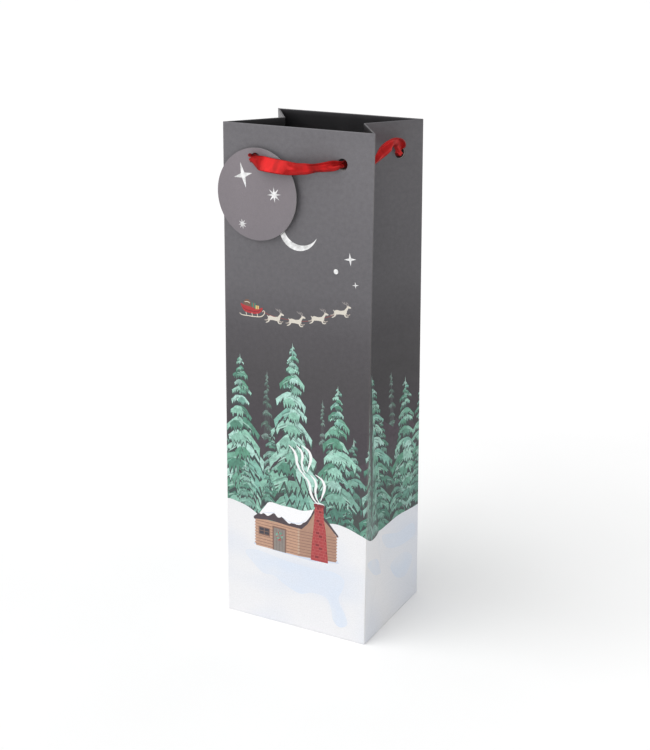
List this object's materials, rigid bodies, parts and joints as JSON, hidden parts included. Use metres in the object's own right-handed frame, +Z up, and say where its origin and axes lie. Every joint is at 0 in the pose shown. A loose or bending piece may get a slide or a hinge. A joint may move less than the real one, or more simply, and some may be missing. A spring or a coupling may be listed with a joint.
{
  "type": "wine gift bag",
  "caption": "Tall narrow folded-paper gift bag for one bottle, with gusseted sides, a turned-over rim, a satin ribbon laced round the mouth and a round tag.",
  "frame": {"origin": "centre of the underside of the base", "axes": "+Z up along the bag's height, the front panel with the tag faces -Y, +X to its right"},
  "size_m": [0.115, 0.089, 0.355],
  "materials": {
    "printed_paper": "matt laminated, printed night sky and snow",
    "plain_card": "uncoated grey board",
    "red_satin": "satin",
    "tag_card": "matt laminated card with silver foil stars"
  },
  "bodies": {
    "bag": {"front_panel": "printed_paper", "front_hem": "printed_paper", "gusset_left_foot": "printed_paper", "gusset_right_foot": "printed_paper", "base_panel": "printed_paper", "bottom_flap_left": "printed_paper", "bottom_flap_right": "printed_paper", "bottom_flap_back": "printed_paper", "front_stiffener": "plain_card", "base_board": "plain_card", "ribbon_front": "red_satin", "ribbon_corner_front_left": "red_satin", "ribbon_corner_front_right": "red_satin"},
    "back_wall": {"back_panel": "printed_paper", "back_stiffener": "plain_card", "back_hem": "printed_paper", "seam_flap": "printed_paper", "ribbon_back": "red_satin", "ribbon_corner_back_right": "red_satin", "ribbon_end_panel": "red_satin", "ribbon_end_gusset": "red_satin", "ribbon_knot": "red_satin"},
    "gusset_left_front": {"gusset_left_front": "printed_paper", "gusset_left_front_hem": "printed_paper", "ribbon_valley_left": "red_satin"},
    "gusset_right_front": {"gusset_right_front": "printed_paper", "gusset_right_front_hem": "printed_paper", "ribbon_valley_right": "red_satin"},
    "gusset_left_back": {"gusset_left_back": "printed_paper", "gusset_left_back_hem": "printed_paper"},
    "gusset_right_back": {"gusset_right_back": "printed_paper", "gusset_right_back_hem": "printed_paper"},
    "tag": {"gift_tag": "tag_card"}
  },
  "joints": [
    {"name": "mouth_close", "type": "hinge", "parent": "bag", "child": "back_wall", "pos_m": [0, 0.0445, 0.0007], "axis": [1, 0, 0], "range_deg": [-2.5, 9.5], "deforming": ["gusset_left_front", "gusset_left_front_hem", "gusset_left_back", "gusset_left_back_hem", "gusset_right_front", "gusset_right_front_hem", "gusset_right_back", "gusset_right_back_hem", "ribbon_valley_left", "ribbon_valley_right", "ribbon_corner_front_left", "ribbon_corner_front_right", "ribbon_corner_back_right", "ribbon_end_gusset", "ribbon_end_panel"]},
    {"name": "tag_swing", "type": "hinge", "parent": "bag", "child": "tag", "pos_m": [-0.0293, -0.03929, 0.3332], "axis": [0, -0.9997, 0.0225], "range_deg": [-50, 30]},
    {"name": "gusset_left_front_fold", "type": "hinge", "parent": "bag", "child": "gusset_left_front", "pos_m": [-0.056, -0.0445, 0], "axis": [0, 0.0225, 0.9997], "range_deg": [-47, 13]},
    {"name": "gusset_left_back_fold", "type": "hinge", "parent": "back_wall", "child": "gusset_left_back", "pos_m": [-0.056, 0.0445, 0], "axis": [0, -0.0225, 0.9997], "range_deg": [-13, 47]},
    {"name": "gusset_right_front_fold", "type": "hinge", "parent": "bag", "child": "gusset_right_front", "pos_m": [0.056, -0.0445, 0], "axis": [0, 0.0225, 0.9997], "range_deg": [-13, 47]},
    {"name": "gusset_right_back_fold", "type": "hinge", "parent": "back_wall", "child": "gusset_right_back", "pos_m": [0.056, 0.0445, 0], "axis": [0, -0.0225, 0.9997], "range_deg": [-47, 13]}
  ],
  "couplings": [
    {"joint": "gusset_left_front_fold", "follows": "mouth_close", "ratio": -4.87},
    {"joint": "gusset_left_back_fold", "follows": "mouth_close", "ratio": 4.87},
    {"joint": "gusset_right_front_fold", "follows": "mouth_close", "ratio": 4.87},
    {"joint": "gusset_right_back_fold", "follows": "mouth_close", "ratio": -4.87}
  ]
}
